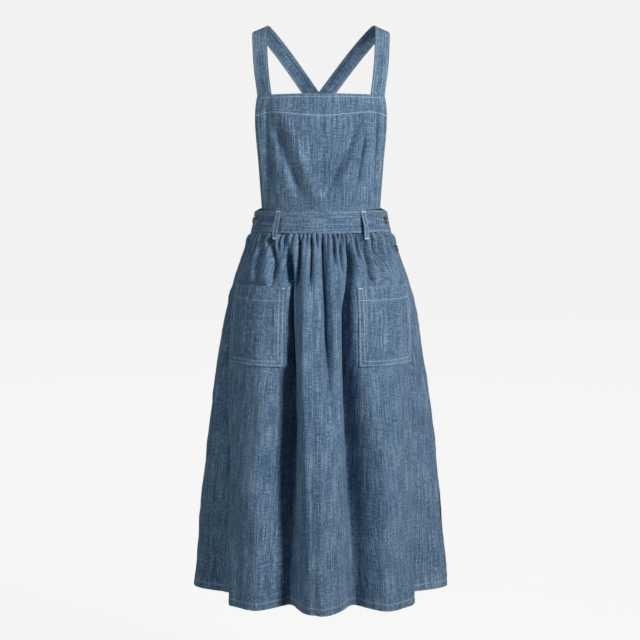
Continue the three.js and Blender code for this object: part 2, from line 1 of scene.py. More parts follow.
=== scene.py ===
# A washed chambray pinafore dress, filled out as it hangs from the shoulders.
# Shapes are worked out in millimetres, and each maker turns them into metres.
# +Z is up, the front faces -Y and +X is the right side as seen from the front.
import math
from types import SimpleNamespace as Sizes
import bpy
import numpy as np
from mathutils import Matrix, Vector


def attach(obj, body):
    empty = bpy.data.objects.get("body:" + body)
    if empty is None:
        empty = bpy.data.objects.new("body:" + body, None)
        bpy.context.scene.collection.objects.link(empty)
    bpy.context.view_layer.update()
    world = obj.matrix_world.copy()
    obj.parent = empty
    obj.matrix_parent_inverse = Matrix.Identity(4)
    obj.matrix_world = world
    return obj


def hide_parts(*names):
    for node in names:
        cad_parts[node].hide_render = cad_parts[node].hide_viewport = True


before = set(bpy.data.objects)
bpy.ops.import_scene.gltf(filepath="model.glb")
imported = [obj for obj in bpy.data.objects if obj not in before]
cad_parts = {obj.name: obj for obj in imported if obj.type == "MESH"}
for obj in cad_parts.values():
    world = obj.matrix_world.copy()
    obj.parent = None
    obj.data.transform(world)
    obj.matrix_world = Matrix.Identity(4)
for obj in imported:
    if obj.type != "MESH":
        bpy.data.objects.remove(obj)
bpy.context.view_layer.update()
mm = 0.001
print("frame loaded:", len(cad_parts), "nodes")


# Small tools for shapes
def ease(x, low, high):
    t = np.clip((x - low) / (high - low), 0, 1)
    return t * t * (3 - 2 * t)


def mix(a, b, t):
    return a + (b - a) * t


def hump(distance, halfWidth):
    return np.exp(-((distance / halfWidth) ** 2))


def smoothCurve(xs, ys, x):  # a smooth line through points, for falling or rising xs
    xs, ys = np.array(xs, float), np.array(ys, float)
    if xs[0] > xs[-1]:
        xs, ys = xs[::-1], ys[::-1]
    last = len(xs) - 1
    at = np.clip(np.searchsorted(xs, x), 1, last) - 1
    before, after = np.maximum(at - 1, 0), np.minimum(at + 2, last)
    step = xs[at + 1] - xs[at]
    t = np.clip((x - xs[at]) / step, 0, 1)
    slopeA = (ys[at + 1] - ys[before]) / (xs[at + 1] - xs[before]) * step
    slopeB = (ys[after] - ys[at]) / (xs[after] - xs[at]) * step
    start = (2 * t**3 - 3 * t**2 + 1) * ys[at] + (t**3 - 2 * t**2 + t) * slopeA
    return start + (3 * t**2 - 2 * t**3) * ys[at + 1] + (t**3 - t**2) * slopeB


def uneven(x, y, seed, size, count=7):  # soft, patternless swells of about that size, from about -1 to 1
    rng = np.random.default_rng(seed)
    total = 0
    for _ in range(count):
        turn, phase = rng.uniform(0, 2 * math.pi, 2)
        length = size * rng.uniform(0.7, 1.6)
        total = total + np.sin(2 * math.pi * (x * math.cos(turn) + y * math.sin(turn)) / length + phase)
    return total / count**0.5


def points(x, y, z):
    return np.stack(np.broadcast_arrays(x, y, z), -1).astype(float)


def unit(v):
    return v / np.maximum(np.linalg.norm(v, axis=-1, keepdims=True), 1e-9)


def onEllipse(angle, halfWidth, halfDepth, z):
    turn = np.radians(angle)
    return points(halfWidth * np.sin(turn), -halfDepth * np.cos(turn), z)


# A surface takes a place on the flat cloth, in mm across and down, and gives the place in the dress.
def normalOf(surface, across, down, step=0.5):
    sideways = surface(across + step, down) - surface(across - step, down)
    lengthways = surface(across, down + step) - surface(across, down - step)
    return unit(np.cross(lengthways, sideways))


def deselectAll():
    bpy.ops.object.select_all(action="DESELECT")
    bpy.context.view_layer.objects.active = None


def makeActive(piece):
    deselectAll()
    piece.select_set(True)
    bpy.context.view_layer.objects.active = piece


def addObject(name, data):
    made = bpy.data.objects.new(name, data)
    bpy.context.collection.objects.link(made)
    return made


def applyModifier(piece, kind, **settings):
    makeActive(piece)
    modifier = piece.modifiers.new(kind.title(), kind)
    for key, value in settings.items():
        setattr(modifier, key, value)
    bpy.ops.object.modifier_apply(modifier=modifier.name)


# Materials
def linear(hexColour):
    parts = [int(hexColour[i:i + 2], 16) / 255 for i in (1, 3, 5)]
    return (*(p / 12.92 if p <= 0.04045 else ((p + 0.055) / 1.055) ** 2.4 for p in parts), 1)


def node(tree, kind, settings=None, **links):
    made = tree.nodes.new("ShaderNode" + kind)
    for key, value in (settings or {}).items():
        if isinstance(key, int) or key in made.inputs:
            made.inputs[key].default_value = value
        else:
            setattr(made, key, value)
    for key, source in links.items():
        socket = made.inputs[int(key[2:])] if key.startswith("in") else made.inputs[key.replace("_", " ")]
        tree.links.new(source, socket)
    return made


def newMaterial(name, settings):
    material = bpy.data.materials.new(name)
    material.use_nodes = True
    tree = material.node_tree
    shader = tree.nodes["Principled BSDF"]
    for key, value in settings.items():
        shader.inputs[key].default_value = value

    def feed(key, source):
        tree.links.new(source, shader.inputs[key])

    return material, tree, feed


def colourRamp(tree, source, low, high, middle=None):  # each end is a place from 0 to 1 and a colour
    ramp = node(tree, "ValToRGB", Fac=source)
    for element, (place, colour) in zip(ramp.color_ramp.elements, (low, high)):
        element.position = place
        element.color = linear(colour)
    if middle:
        ramp.color_ramp.elements.new(0.5).color = linear(middle)
    return ramp.outputs[0]


chambrayLook = Sizes(
    deep="#3c5571", middle="#5c7c9c", pale="#9db3c5", worn="#8ea7bb", roughness=0.88, sheen=0.12,
    slubWidth=0.0014, slubLength=0.05, fineWidth=0.0009, fineLength=0.008, patchSize=0.06,
    threadPitch=0.0009, toneRange={"From Min": 1.51, "From Max": 2.18},
    rubbedRange={"From Min": 0.35, "From Max": 0.75, "To Max": 0.6},
)


# Plain weave of blue warp and undyed weft, washed. Thick and thin yarns leave short pale and dark streaks
# both ways, and the cloth is paler where it has rubbed along its seams.
def makeChambray(look):
    material, tree, feed = newMaterial("washed chambray", {
        "Roughness": look.roughness,
        "Sheen Weight": look.sheen,
        "Sheen Roughness": 0.6,
        "IOR": 1.45,
        "Specular IOR Level": 0.2,
    })
    flat = node(tree, "UVMap").outputs["UV"]

    def streaks(width, length, detail, place):
        scale = (1 / width, 1 / length, 1)
        moved = node(tree, "Mapping", {"Scale": scale, "Location": place}, Vector=flat)
        settings = {"noise_dimensions": "2D", "Scale": 1.0, "Detail": detail, "Roughness": 0.55}
        return node(tree, "TexNoise", settings, Vector=moved.outputs[0]).outputs[0]

    def maths(operation, settings=None, **links):
        return node(tree, "Math", {"operation": operation, **(settings or {})}, **links).outputs[0]

    warp = streaks(look.slubWidth, look.slubLength, 2.0, (3.1, 0.7, 0))
    weft = streaks(look.slubLength * 0.6, look.slubWidth * 0.8, 2.0, (0.4, 5.2, 0))
    fineWarp = streaks(look.fineWidth, look.fineLength, 1.0, (7.7, 2.4, 0))
    fineWeft = streaks(look.fineLength, look.fineWidth, 1.0, (1.9, 8.3, 0))
    bars = streaks(look.slubWidth * 4, look.slubLength * 4, 1.0, (5.5, 6.1, 0))
    patches = streaks(look.patchSize, look.patchSize, 2.0, (9.0, 4.0, 0))
    slub = maths("MULTIPLY_ADD", {1: 0.7}, in0=weft, in2=warp)
    cloth = slub
    for layer, weight in ((fineWarp, 0.65), (fineWeft, 0.65), (bars, 0.35), (patches, 0.3)):
        cloth = maths("MULTIPLY_ADD", {1: weight}, in0=layer, in2=cloth)
    tone = node(tree, "MapRange", look.toneRange, Value=cloth)
    shade = colourRamp(tree, tone.outputs[0], (0, look.deep), (1, look.pale), look.middle)
    seam = node(tree, "Attribute", {"attribute_name": "seam"}).outputs["Fac"]
    rubbed = node(tree, "MapRange", look.rubbedRange, Value=fineWarp)
    faded = maths("MULTIPLY", in0=seam, in1=rubbed.outputs[0])
    worn = {"data_type": "RGBA", 7: linear(look.worn)}
    feed("Base Color", node(tree, "Mix", worn, in0=faded, in6=shade).outputs[2])
    # The real threads are 0.35 mm apart. They are drawn 0.9 mm apart, because finer ones would not show.
    split = node(tree, "SeparateXYZ", Vector=flat)
    turns = 2 * math.pi / look.threadPitch
    waves = [maths("SINE", in0=maths("MULTIPLY", {1: turns}, in0=split.outputs[axis])) for axis in (0, 1)]
    weave = maths("MULTIPLY", in0=waves[0], in1=waves[1])
    weaveBump = node(tree, "Bump", {"Strength": 0.25, "Distance": 0.0002}, Height=weave)
    slubBump = node(tree, "Bump", {"Strength": 0.5, "Distance": 0.0008}, Height=slub,
                    Normal=weaveBump.outputs[0])
    feed("Normal", slubBump.outputs[0])
    return material


# Spun cotton sewing thread, a little fuzzy, undyed
def makeThread():
    settings = {"Roughness": 0.75, "Sheen Weight": 0.2, "IOR": 1.45}
    material, tree, feed = newMaterial("undyed cotton thread", settings)
    place = node(tree, "TexCoord").outputs["Object"]
    spun = node(tree, "TexNoise", {"Scale": 900.0, "Detail": 2.0}, Vector=place).outputs[0]
    feed("Base Color", colourRamp(tree, spun, (0, "#c8d8e8"), (1, "#f4f9ff")))
    bump = node(tree, "Bump", {"Strength": 0.5, "Distance": 0.0001}, Height=spun)
    feed("Normal", bump.outputs[0])
    return material


# Pressed brass with an aged pewter plating, spotted, and with painted shade darkening its sunk ring
def makePewter():
    material, tree, feed = newMaterial("aged pewter plating", {"Metallic": 1.0, "Roughness": 0.4})
    place = node(tree, "TexCoord").outputs["Object"]
    spotted = {"Scale": 420.0, "Detail": 4.0, "Roughness": 0.7}
    spots = node(tree, "TexNoise", spotted, Vector=place).outputs[0]
    metal = colourRamp(tree, spots, (0.3, "#33373a"), (0.7, "#c3c8c6"))
    # Painted shade: the sunk ring is coloured near black where the light falls less into it
    recess = node(tree, "Attribute", {"attribute_name": "recess"}).outputs["Fac"]
    painted_shade = {"data_type": "RGBA", 7: linear("#17191b")}
    feed("Base Color", node(tree, "Mix", painted_shade, in0=recess, in6=metal).outputs[2])
    rough = node(tree, "MapRange", {"To Min": 0.3, "To Max": 0.6}, Value=spots)
    feed("Roughness", rough.outputs[0])
    bump = node(tree, "Bump", {"Strength": 0.7, "Distance": 0.0003}, Height=spots)
    feed("Normal", bump.outputs[0])
    return material


chambray = makeChambray(chambrayLook)
thread = makeThread()
pewter = makePewter()
print("materials made")
seamWear = 3.5  # how far from a sewn line the cloth is rubbed pale


# Cloth is a grid whose points are moved onto a surface and then given the cloth's thickness. The flat
# places become its UV map, in metres. edges says how far a flat place is from the nearest sewn line, and
# alongCloth turns the weave for a strip that is cut along the cloth.
def makeSheet(name, surface, acrossMarks, downMarks, thickness, edges=None, alongCloth=False):
    deselectAll()
    columns, rows = len(acrossMarks) - 1, len(downMarks) - 1
    bpy.ops.mesh.primitive_grid_add(x_subdivisions=columns, y_subdivisions=rows, size=1)
    piece = bpy.context.object
    piece.name = piece.data.name = name
    mesh = piece.data
    places = np.empty(len(mesh.vertices) * 3)
    mesh.vertices.foreach_get("co", places)
    places = places.reshape(-1, 3)
    across = np.interp((places[:, 0] + 0.5) * columns, np.arange(columns + 1), acrossMarks)
    down = np.interp((0.5 - places[:, 1]) * rows, np.arange(rows + 1), downMarks)
    mesh.vertices.foreach_set("co", (surface(across, down) * mm).ravel())
    corner = np.empty(len(mesh.loops), int)
    mesh.loops.foreach_get("vertex_index", corner)
    flat = np.stack([-down, across] if alongCloth else [across, -down], -1)[corner] * mm
    mesh.uv_layers.active.data.foreach_set("uv", flat.ravel())
    fromSides = np.minimum(across - min(acrossMarks), max(acrossMarks) - across)
    distance = np.minimum(fromSides, np.minimum(down - downMarks[0], downMarks[-1] - down))
    if edges:
        distance = np.minimum(distance, edges(across, down))
    mesh.attributes.new("seam", "FLOAT", "POINT").data.foreach_set("value", hump(distance, seamWear))
    mesh.update()
    applyModifier(piece, "SOLIDIFY", thickness=thickness * mm, offset=0, use_even_offset=False)
    bpy.ops.object.shade_smooth_by_angle(angle=math.radians(50))
    mesh.materials.clear()
    mesh.materials.append(chambray)
    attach(piece, "root")
    return piece


# One stitch, modelled once: a short thread that dips into the cloth at both ends
stitchSize = Sizes(length=2.7, width=0.85, height=0.6, pitch=3.5, dip=0.22)
tackSize = Sizes(pitch=0.75, lift=0.5, width=1.05, height=1.3)


def modelStitch(s):
    deselectAll()
    bpy.ops.mesh.primitive_uv_sphere_add(segments=6, ring_count=4, radius=0.5)
    piece = bpy.context.object
    bpy.ops.object.mode_set(mode="EDIT")
    bpy.ops.mesh.select_all(action="SELECT")
    bpy.ops.transform.rotate(value=math.pi / 2, orient_axis="Y", center_override=(0, 0, 0))
    bpy.ops.transform.resize(value=(s.length, s.width, s.height), center_override=(0, 0, 0))
    bpy.ops.object.mode_set(mode="OBJECT")
    form = np.array([v.co[:] for v in piece.data.vertices])
    form[:, 2] -= s.dip * (form[:, 0] / s.length * 2) ** 2
    faces = [list(p.vertices) for p in piece.data.polygons]
    bpy.data.objects.remove(piece)
    return form, faces


stitchForm, stitchFaces = modelStitch(stitchSize)


# Places on a surface along a line of flat places, with the direction of sewing and the cloth's normal.
# crosswise stitches lie side by side across the line, as in a bar tack or a buttonhole.
def placesAlong(surface, line, pitch, lift, crosswise=False):
    line = np.array(line, float)
    legs = np.r_[0, np.cumsum(np.linalg.norm(np.diff(line, axis=0), axis=1))]
    fine = 0.8
    near = 0.4

    def flatAt(stop):
        return [np.interp(stop, legs, line[:, i]) for i in (0, 1)]

    dense = np.linspace(0, legs[-1], max(int(legs[-1] / fine), 4))
    where = surface(*flatAt(dense))
    run = np.r_[0, np.cumsum(np.linalg.norm(np.diff(where, axis=0), axis=1))]
    count = max(int(run[-1] / pitch), 2)
    stops = np.interp((np.arange(count) + 0.5) / count * run[-1], run, dense)
    across, down = flatAt(stops)
    normal = normalOf(surface, across, down)
    heading = surface(*flatAt(stops + near)) - surface(*flatAt(stops - near))
    heading = unit(heading - normal * np.sum(heading * normal, -1, keepdims=True))
    if crosswise:
        heading = np.cross(normal, heading)
    return surface(across, down) + normal * lift, heading, normal


def sew(name, runs):
    deselectAll()
    allPoints, faces = [], []
    for where, heading, normal, size in runs:
        aside = np.cross(normal, heading)
        for i in range(len(where)):
            turn = np.stack([heading[i], aside[i], normal[i]])
            start = len(stitchForm) * len(allPoints)
            allPoints.append(stitchForm * size @ turn + where[i])
            faces.extend([start + k for k in face] for face in stitchFaces)
    mesh = bpy.data.meshes.new(name)
    mesh.from_pydata((np.concatenate(allPoints) * mm).tolist(), [], faces)
    piece = addObject(name, mesh)
    makeActive(piece)
    bpy.ops.object.shade_smooth()
    mesh.materials.append(thread)
    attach(piece, "root")


def stitches(surface, line, thickness, pitch=None, size=1.0):
    return *placesAlong(surface, line, pitch or stitchSize.pitch, thickness / 2 + 0.1), size


def barTack(surface, line, thickness, width=3.0):
    lift = thickness / 2 + tackSize.lift
    size = np.array([width / stitchSize.length, tackSize.width, tackSize.height])
    return *placesAlong(surface, line, tackSize.pitch, lift, crosswise=True), size


# Waistband
band = Sizes(
    topZ=-369, bottomZ=-415.5, topHalfWidth=140.5, topHalfDepth=106, bottomHalfWidth=148.5,
    bottomHalfDepth=112, sideAngle=92, sideDip=9, backDip=4, dipSpread=24, thickness=3, length=402,
    height=46.5, edgeStitch=3.2,
)
seamGap = 0.3


def sideDrop(angle):
    fromSide = np.abs(np.abs((angle + 180) % 360 - 180) - band.sideAngle)
    return hump(fromSide, band.dipSpread)


def behind(angle):
    return (1 - np.cos(np.radians(angle))) / 2


def bandTopZ(angle):
    return band.topZ - band.sideDip * sideDrop(angle) - band.backDip * behind(angle)


def bandBottomZ(angle):  # the lower edge dips three quarters as far at the sides, and half as far behind
    return band.bottomZ - 0.75 * band.sideDip * sideDrop(angle) - 0.5 * band.backDip * behind(angle)


def bandOuter(angle, share):
    flare = share * share * (1.6 - 0.6 * share)  # nearly upright at its top edge, and wider towards its foot
    return onEllipse(
        angle,
        mix(band.topHalfWidth, band.bottomHalfWidth, flare),
        mix(band.topHalfDepth, band.bottomHalfDepth, flare),
        mix(bandTopZ(angle), bandBottomZ(angle), share),
    )


def bandAt(start):
    def surface(across, down):
        angle = start + across / band.length * 180
        share = down / band.height
        outward = unit(onEllipse(angle, 1 / band.topHalfWidth, 1 / band.topHalfDepth, 0))
        sunk = hump(down - band.edgeStitch, 1.6) + hump(band.height - band.edgeStitch - down, 1.6)
        ripple = 0.35 * uneven(across, down * 0.4, start + 105, 13) * ease(share, 0.2, 0.95)
        swell = 0.5 * uneven(across, down, start + 109, 60)
        inward = band.thickness / 2 + 0.3 * sunk - ripple - swell * np.sin(math.pi * np.clip(share, 0, 1))
        return bandOuter(angle, share) - outward * inward[..., None]
    return surface


for side, start in (("front", -90), ("back", 90)):
    surface = bandAt(start)
    marks = np.linspace(seamGap / 2, band.length - seamGap / 2, 171)
    piece = makeSheet("cloth_waistband_" + side, surface, marks, np.linspace(0, band.height, 19),
                      band.thickness, alongCloth=True)
    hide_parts("waistband_" + side)
    edges = (band.edgeStitch, band.height - band.edgeStitch)
    ends = (4, band.length - 4)
    sew("stitching_waistband_" + side,
        [stitches(surface, [(1, e), (band.length - 1, e)], band.thickness, size=0.6) for e in edges]
        + [stitches(surface, [(e, 5), (e, band.height - 5)], band.thickness) for e in ends])
print("waistband made")


# Skirt. The plain outline comes first, and the flutes, folds and gathers are let into it.
skirt = Sizes(
    hemZ=-1186, width=980, thickness=1.2, hemStitch=14, seamTuck=1.3, puff=4.0, columnsFront=440,
    columnsBack=400,
)
pocket = Sizes(topZ=-525, footZ=-685, width=147, height=160, hem=27, thickness=1.4, twin=(3, 11))

outlineZ = [-416, -440, -465, -516, -567, -620, -722, -878, -1035, -1186]
outlineHalfWidth = [148, 157, 166, 182, 196, 206, 223.5, 243, 259, 272]
outlineHalfDepth = [112, 121, 131, 148, 164, 175, 192, 210, 225, 237]

# Long folds that reach the hem: the angle from the centre front at the waist seam, the pocket's top and
# foot, the knee and the hem, and how far in each lies at the last four of these
levelDrops = [0, 109.5, 269.5, 484.5, 770.5]
frontFlutes = [
    (-90, -90, -90, -90, -90, 0, 0, 0, 0),
    (-80, -79, -72, -67, -63, 3, 15, 42, 68),
    (-66, -70, -58, -47, -42, 0, 0, 0, 0),
    (-45, -42, -38, -33, -30, 0, -2, -5, -8),
    (-24, -20, -17, -18, -19, 7, 20, 42, 70),
    (-12, -10, -7.5, -5, -3, 0, -1, -4, -9),
    (0, 0, 0, 0, 0, 0, -3, -9, -17),
    (22, 19, 16, 17.5, 19.5, 7, 19, 38, 62),
    (42, 41, 37, 33, 29, 0, -2, -8, -15),
    (64, 69, 57, 46, 41, 0, 0, 0, -2),
    (80, 78, 70, 66, 66, 3, 13, 38, 68),
    (90, 90, 90, 90, 90, 0, 0, 0, 0),
]
backFlutes = [
    (90, 90, 90, 90, 90, 0, 0, 0, 0),
    (108, 109, 111, 112, 113, 3, 12, 30, 52),
    (128, 129, 130, 131, 132, 0, -2, -6, -10),
    (152, 154, 156, 157, 157, 5, 16, 34, 56),
    (176, 177, 178, 179, 179, 0, -3, -8, -14),
    (200, 200, 201, 202, 203, 6, 15, 30, 48),
    (226, 227, 228, 229, 229, 0, -2, -7, -12),
    (250, 250, 250, 250, 250, 3, 13, 32, 58),
    (270, 270, 270, 270, 270, 0, 0, 0, 0),
]

# Folds that run out of the gathers and die away: angle at the seam and at the end, depth, half width, reach
shortFolds = [
    (-67, -68, 4, 8, 110), (-51, -47, 7, 9, 200), (-36, -30, 7.5, 8, 190),
    (-17, -14, 8, 7, 170), (-7.5, -8.5, 4.5, 6, 150), (12, 9.5, 4, 6, 110), (36.5, 33, 8, 8, 200),
    (51, 48, 5.5, 8, 150), (62.5, 60, 4, 8, 150), (101, 102, 5, 8, 160), (117, 119, 7, 8, 230),
    (131, 133, 5, 7, 150), (143, 147, 8, 8, 260), (157, 158, 7, 8, 190), (169, 168, 5, 7, 140),
    (183, 181, 8, 8, 300), (196, 199, 7, 8, 180), (211, 208, 6, 7, 150), (222, 219, 8, 8, 240),
    (238, 239, 6, 8, 170), (256, 255, 5, 8, 150),
]

# Gathers under the waistband, each a narrow pleat at this angle. Those past grownPast are wider, deeper and
# longer, and all run a little outwards as they go down.
frontPleats = [
    -75.6, -69.5, -63.8, -59, -54.2, -49.5, -45.3, -42, -38.7, -33.6, -30.7, -27.8, -22.8, -18.4, -14.6,
    -11.2, -7.9, -3.7, 1.2, 5.4, 9.5, 13.4, 17.1, 20.4, 23.3, 26.9, 30, 33.1, 38.5, 44.5, 51.5, 59.5, 68,
]
pleatSize = dict(depth=(9.0, 15.0), halfWidth=(2.1, 2.9), reach=(30, 84), wander=1.2, notch=3.6, spread=1.07,
                 grownPast=30, grown=1.5)

# Deep folds that the gathers gather into: angles at these distances below the seam, depth, half width at the
# seam and far down, and where each starts, is full, begins to fade and has gone
toHem = (0, 57, 93, 153, 213, 293, 395, 500, 620, 770)
deepFolds = [
    (toHem, (-27, -26, -24, -22.6, -21.8, -20.4, -19.6, -20.3, -20, -18), 52, (8.5, 24), (4, 80, 430, 840)),
    (toHem, (22, 22.8, 21.4, 17, 17.2, 17.9, 19.4, 20.6, 21.8, 22), 58, (5, 23), (4, 60, 450, 880)),
    ((0, 57, 151, 292), (1, 1.5, 2.8, 3.6), 32, (7, 13), (4, 36, 190, 440)),
    ((0, 57, 151, 292, 500), (-9, -9.5, -10, -9.5, -7), -9, (9, 14), (40, 150, 400, 620)),
    ((0, 57, 103, 132), (-18, -17.1, -16.6, -17), 18, (4.5, 6), (3, 20, 80, 132)),
    ((0, 56, 122), (-8, -7.2, -7.5), 18, (5, 7), (3, 20, 80, 125)),
    ((0, 31, 59, 94), (-46, -41, -37.5, -36.5), 22, (6, 7.5), (3, 20, 92, 124)),
    ((0, 62, 97), (-54, -54, -49.4), 12, (5.5, 7), (3, 20, 60, 115)),
    ((0, 30, 57), (11, 10.6, 9.5), 14, (4, 5), (0, 12, 30, 80)),
    ((0, 30, 57), (16, 15.6, 14.5), 14, (3.6, 5), (0, 12, 40, 100)),
    ((0, 31), (30.3, 30), 24, (3, 4), (0, 8, 30, 60)),
    ((0, 31, 59, 95), (39.5, 39, 38.2, 37.4), 38, (4, 5.5), (0, 8, 98, 126)),
    ((0, 31, 57), (45, 44.6, 43), 32, (3.4, 4.6), (0, 8, 45, 85)),
    ((0, 31, 57, 93), (51.7, 51.8, 51.3, 50.2), 28, (4, 5), (0, 8, 60, 118)),
    ((0, 31), (65.4, 61.6), 22, (5, 6), (0, 8, 30, 70)),
    ((0, 37, 67, 103), (-75.6, -77, -79, -72), 6, (6, 8), (3, 26, 60, 115)),
    ((0, 237, 315, 418, 520, 646), (-80, -80, -75, -70, -64, -61), 20, (14, 20), (70, 170, 560, 768)),
    ((0, 167, 230, 311, 414, 518, 643), (81, 75, 72, 67.5, 63, 61.5, 60), 32, (7, 15), (70, 150, 600, 790)),
]


def layPleats(angles, middle, seed):
    rng = np.random.default_rng(seed)
    laid = []
    for angle in angles:
        grown = pleatSize["grown"] if angle > pleatSize["grownPast"] else 1
        end = middle + (angle - middle) * pleatSize["spread"] + rng.uniform(-1, 1) * pleatSize["wander"]
        drawn = [grown * rng.uniform(*pleatSize[key]) for key in ("depth", "halfWidth", "reach")]
        laid.append((angle, end, *drawn))
    return laid


# calm is the angle where a panel's gathers lie flat: under the button in front, and nowhere behind
backSpacing = np.cumsum(np.random.default_rng(21).uniform(3.4, 6.2, 36))
backPleats = layPleats(92 + backSpacing[backSpacing < 175], 180, 4)
panels = dict(
    front=Sizes(start=-90, flutes=frontFlutes, pleats=layPleats(frontPleats, 0, 3), seed=11, calm=78),
    back=Sizes(start=90, flutes=backFlutes, pleats=backPleats, seed=12, calm=1000),
)

# A pocket's edges lie at these angles at its top and foot, and the skirt's relief eases off round it
pocketFan = dict(inner=(24.4, 22.9), outer=(71, 60.5))
pocketEase = Sizes(innerFrom=3.6, innerTo=0.6, outerFrom=1, outerTo=3, upright=18)
pocketMouth = Sizes(dip=8.0, ends=4, above=1, halfHeight=7)

# Columns count across a panel, from its left seam. A pocket spans these, counted from the centre front.
panelColumns = 128
quarter = panelColumns / 2
pocketColumns = (16, 48)

# How an angle turns into mm round the oval, how deep folds widen, and what share a pocket flattens
foldSize = Sizes(around=0.9, aroundDeep=0.92, widensOver=500, widest=1.5, power=1.3, flattened=0.7,
                 flattenedDeep=0.94)

# Soft relief of the skirt: height, squash, size, and where below the seam it starts and is full
skirtRelief = [(1.5, 0.3, 70, 20, 120), (0.7, 0.22, 26, 15, 90), (0.25, 1, 17, 10, 60)]


def pocketEdges(z):
    share = np.clip((pocket.topZ - z) / (pocket.topZ - pocket.footZ), 0, 1)
    return mix(*pocketFan["inner"], share), mix(*pocketFan["outer"], share)


def underPocket(angle, z):  # 1 under a pocket, where the cloth lies flatter
    side = np.abs(angle)
    inner, outer = pocketEdges(z)
    size = pocketEase
    across = ease(side, inner - size.innerFrom, inner - size.innerTo)
    across = across * (1 - ease(side, outer - size.outerFrom, outer + size.outerTo))
    across = across * (1 - ease(z, pocket.topZ, pocket.topZ + size.upright))
    return across * ease(z, pocket.footZ - size.upright, pocket.footZ)


def fluteDepth(flutes, angle, z):
    drop = band.bottomZ - z
    at = [np.interp(drop, levelDrops, row[:5]) for row in flutes]
    deep = [np.interp(drop, levelDrops, (0, *row[5:])) for row in flutes]
    total = np.zeros_like(drop)
    for k in range(len(flutes) - 1):
        share = (angle - at[k]) / (at[k + 1] - at[k])
        eased = (1 - np.cos(np.pi * np.clip(share, 0, 1))) / 2
        here = (share >= 0) & (share < 1) if k + 2 < len(flutes) else share >= 0
        total = np.where(here, mix(deep[k], deep[k + 1], eased), total)
    return total


def foldDepth(angle, z, halfWidth):
    below = band.bottomZ - z
    total = 0
    for seam, end, deep, half, reach in shortFolds:
        share = np.clip(below / reach, 0, 1)
        away = np.radians(angle - mix(seam, end, share)) * halfWidth * foldSize.around
        grown = ease(below, 2, 34) * (1 - ease(share, 0.35, 1))
        total = total + deep * grown * hump(away, half * (0.7 + 0.6 * share))
    return total * (1 - foldSize.flattened * underPocket(angle, z))


def mouthDip(angle, z):  # the skirt falls back a little behind the mouth of each pocket
    side = np.abs(angle)
    inner, outer = pocketEdges(z)
    size = pocketMouth
    across = ease(side, inner, inner + size.ends) * (1 - ease(side, outer - size.ends, outer))
    return size.dip * across * hump(z - pocket.topZ - size.above, size.halfHeight)


def deepFoldDepth(angle, z, halfWidth):
    below = band.bottomZ - z
    total = 0
    for drops, angles, deep, halves, (start, full, fading, gone) in deepFolds:
        away = np.radians(angle - np.interp(below, drops, angles)) * halfWidth * foldSize.aroundDeep
        grown = ease(below, start, full) * (1 - ease(below, fading, gone))
        far = np.clip(below / foldSize.widensOver, 0, foldSize.widest) ** foldSize.power
        total = total + deep * grown * hump(away, mix(*halves, far))
    return total * (1 - foldSize.flattenedDeep * underPocket(angle, z))


def pleatDepth(panel, angle, z, halfWidth):
    below = band.bottomZ - seamGap - z
    calm = 1 - 0.85 * np.exp(-(((angle - panel.calm) / 8) ** 4))
    total = 0
    for seam, end, deep, half, reach in panel.pleats:
        share = np.clip(below / reach, 0, 1)
        away = np.radians(angle - mix(seam, end, share)) * halfWidth * foldSize.around
        grown = mix(0.55, 1, ease(below, 0, 8)) * (1 - ease(share, 0.1, 1))
        total = total + deep * grown * hump(away, half * (1 + 0.8 * share))
        total = total + pleatSize["notch"] * hump(below - 1, 5) * hump(away, 1.5)
    fine = 0.5 * uneven(angle * 2.5, below * 0.12, panel.seed, 6.5) * hump(below - 5, 14)
    return (total + fine) * calm - skirt.puff * hump(below - 13, 14) * calm * ease(below, 0, 6)


def columnAngle(column, z):  # column is 0 at the centre front and goes on round to the back
    plain = column * 180 / panelColumns
    side = np.abs(column)
    inner, outer = pocketEdges(z)
    low, high = pocketColumns
    overPocket = mix(inner, outer, (side - low) / (high - low))
    beyond = mix(outer, 90, (side - high) / (quarter - high))
    fanned = np.where(side < low, inner * side / low, np.where(side < high, overPocket, beyond))
    led = mix(plain, np.sign(column) * fanned, ease(band.bottomZ - z, 30, 75))
    return np.where(side > quarter, plain, led)


def skirtPoint(panel, column, z, mouths):
    angle = columnAngle(column, z)
    seamZ = bandBottomZ(angle) - seamGap
    dip = (band.bottomZ - seamGap - seamZ) * (1 - ease(band.bottomZ - z, 0, 160))
    halfWidth = smoothCurve(outlineZ, outlineHalfWidth, z)
    halfDepth = smoothCurve(outlineZ, outlineHalfDepth, z)
    below = band.bottomZ - seamGap - z
    flat = 1 - 0.6 * underPocket(angle, z)
    around = np.radians(angle) * halfWidth
    relief = 0
    for k, (height, squash, size, start, full) in enumerate(skirtRelief):
        swell = height * uneven(around, z * squash, panel.seed + 1 + k, size)
        relief = relief + swell * ease(below, start, full)
    aboveHem = z - skirt.hemZ
    roping = 0.45 * np.sin(2 * math.pi * (around / 13 + aboveHem / 22) + 2 * uneven(around, z, 5, 60))
    hem = roping * (1 - ease(aboveHem, 11, 15)) - 0.4 * hump(aboveHem - skirt.hemStitch, 2.2)
    inward = fluteDepth(panel.flutes, angle, z) + foldDepth(angle, z, halfWidth)
    inward = inward + deepFoldDepth(angle, z, halfWidth) + pleatDepth(panel, angle, z, halfWidth)
    inward = inward + skirt.seamTuck * hump(below, 5) + mouths * mouthDip(angle, z)
    offset = relief * flat + hem - inward
    return onEllipse(angle, halfWidth + offset, halfDepth + offset * halfDepth / halfWidth, z - dip)


def skirtAt(panel, mouths=1):  # mouths is 0 for what the pockets are laid on
    def surface(across, down):
        column = panel.start / 180 * panelColumns + across / skirt.width * panelColumns
        return skirtPoint(panel, column, band.bottomZ - seamGap - down, mouths)
    return surface


